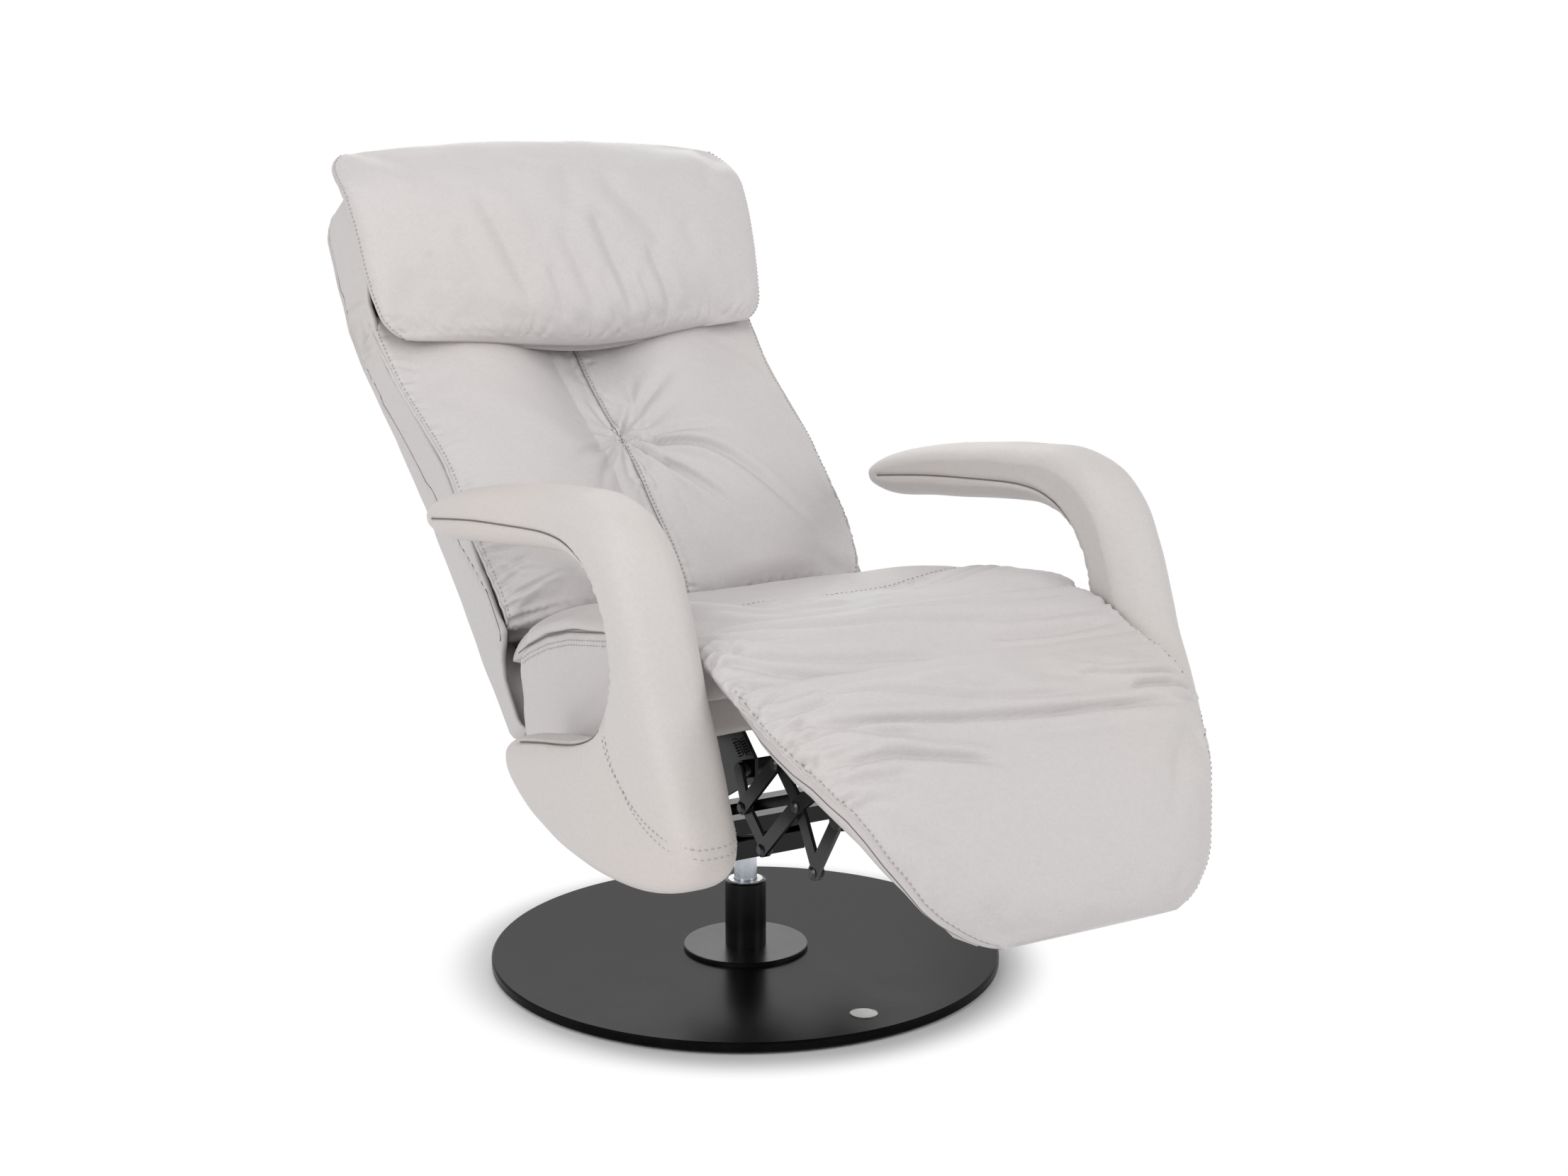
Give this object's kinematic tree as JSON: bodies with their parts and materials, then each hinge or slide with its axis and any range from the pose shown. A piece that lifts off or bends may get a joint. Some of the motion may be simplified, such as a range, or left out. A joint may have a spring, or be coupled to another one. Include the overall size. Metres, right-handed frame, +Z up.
{
  "type": "swivel recliner",
  "caption": "Leather swivel recliner on a round wooden base, with padded loop arms, a reclining back, a tilting head section and a scissor-link footrest.",
  "frame": {"origin": "on the floor, in the middle of the round base under the column", "axes": "+Z up along the swivel column, the sitter faces -Y, +X is the sitter's left"},
  "size_m": [0.7022, 1.2994, 0.9666],
  "materials": {
    "stained_wood": "black-stained wood with a satin lacquer",
    "felt": "grey pressed felt",
    "bare_disc": "bare turned metal",
    "satin_black_steel": "satin black powder coat",
    "zinc": "bright zinc plate",
    "nylon": "natural nylon",
    "black_steel": "glossy black lacquer",
    "dark_rivet": "blackened steel",
    "spring_steel": "oiled spring steel",
    "pale_wood": "plain beech and plywood",
    "black_cloth": "woven black lining and elastic webbing",
    "leather": "pale warm grey leather with a fine grain",
    "arm_leather": "pale warm grey leather with a fine grain"
  },
  "bodies": {
    "base": {"floor_pad": "felt", "base_plate": "stained_wood", "base_disc": "bare_disc", "flange": "satin_black_steel", "flange_screws": "zinc", "column_tube": "satin_black_steel", "column_bushes": "nylon", "column_ring": "zinc", "thrust_disc": "nylon"},
    "seat": {"pivot_shaft": "zinc", "shaft_nut": "zinc", "swivel_bracket": "black_steel", "cross_tubes": "black_steel", "side_plates": "black_steel", "seat_frame": "pale_wood", "seat_springs": "spring_steel", "seat_lining": "black_cloth", "seat_apron": "leather", "seat_side_right": "leather", "seat_side_left": "leather", "seat_cushion": "leather", "knee_flap": "leather", "arm_right": "arm_leather", "arm_left": "arm_leather", "arm_bolts": "zinc", "recliner_lower": "black_steel", "recliner_pins": "zinc", "link_springs": "spring_steel"},
    "back": {"recliner_upper": "black_steel", "back_frame": "pale_wood", "back_straps": "black_cloth", "back_shell": "leather", "back_cushion": "leather", "head_rod": "zinc"},
    "head": {"head_frame": "pale_wood", "head_shell": "leather", "head_cushion": "leather"},
    "drive": {"torque_tube": "black_steel", "drive_links": "black_steel", "drive_rivets": "dark_rivet"},
    "cross": {"cross_links": "black_steel"},
    "long": {"long_links": "black_steel", "bracket_rivets": "dark_rivet"},
    "front": {"front_links": "black_steel", "front_rivets": "dark_rivet"},
    "end": {"end_links": "black_steel", "end_pins": "dark_rivet"},
    "footrest": {"footrest_brackets": "black_steel", "footrest_board": "pale_wood", "footrest_pad": "leather"}
  },
  "joints": [
    {"name": "swivel", "type": "hinge", "parent": "base", "child": "seat", "pos_m": [0, 0, 0.1], "axis": [0, 0, 1], "continuous": true},
    {"name": "back_recline", "type": "hinge", "parent": "seat", "child": "back", "pos_m": [0, 0.172, 0.395], "axis": [1, 0, 0], "range_deg": [0, 28]},
    {"name": "head_tilt", "type": "hinge", "parent": "back", "child": "head", "pos_m": [0, 0.51558, 0.72632], "axis": [1, 0, 0], "range_deg": [-14, 0]},
    {"name": "footrest_drive", "type": "hinge", "parent": "seat", "child": "drive", "pos_m": [0, -0.282, 0.333], "axis": [1, 0, 0], "range_deg": [0, 32], "deforming": ["knee_flap"]},
    {"name": "cross_pivot", "type": "hinge", "parent": "drive", "child": "cross", "pos_m": [0, -0.296, 0.296], "axis": [1, 0, 0], "range_deg": [-60.64, 0]},
    {"name": "long_pivot", "type": "hinge", "parent": "drive", "child": "long", "pos_m": [0, -0.336, 0.26], "axis": [1, 0, 0], "range_deg": [-60.64, 0]},
    {"name": "front_pivot", "type": "hinge", "parent": "long", "child": "front", "pos_m": [0, -0.403, 0.324], "axis": [1, 0, 0], "range_deg": [0, 60.64]},
    {"name": "end_pivot", "type": "hinge", "parent": "front", "child": "end", "pos_m": [0, -0.437, 0.263], "axis": [1, 0, 0], "range_deg": [-37.74, 0]},
    {"name": "footrest_pivot", "type": "hinge", "parent": "long", "child": "footrest", "pos_m": [0, -0.44396, 0.35268], "axis": [1, 0, 0], "range_deg": [0, 70.75]}
  ],
  "couplings": [
    {"joint": "cross_pivot", "follows": "footrest_drive", "ratio": -1.8947},
    {"joint": "long_pivot", "follows": "footrest_drive", "ratio": -1.8947},
    {"joint": "front_pivot", "follows": "footrest_drive", "ratio": 1.8947},
    {"joint": "end_pivot", "follows": "footrest_drive", "ratio": -1.1789},
    {"joint": "footrest_pivot", "follows": "footrest_drive", "ratio": 2.2105}
  ]
}
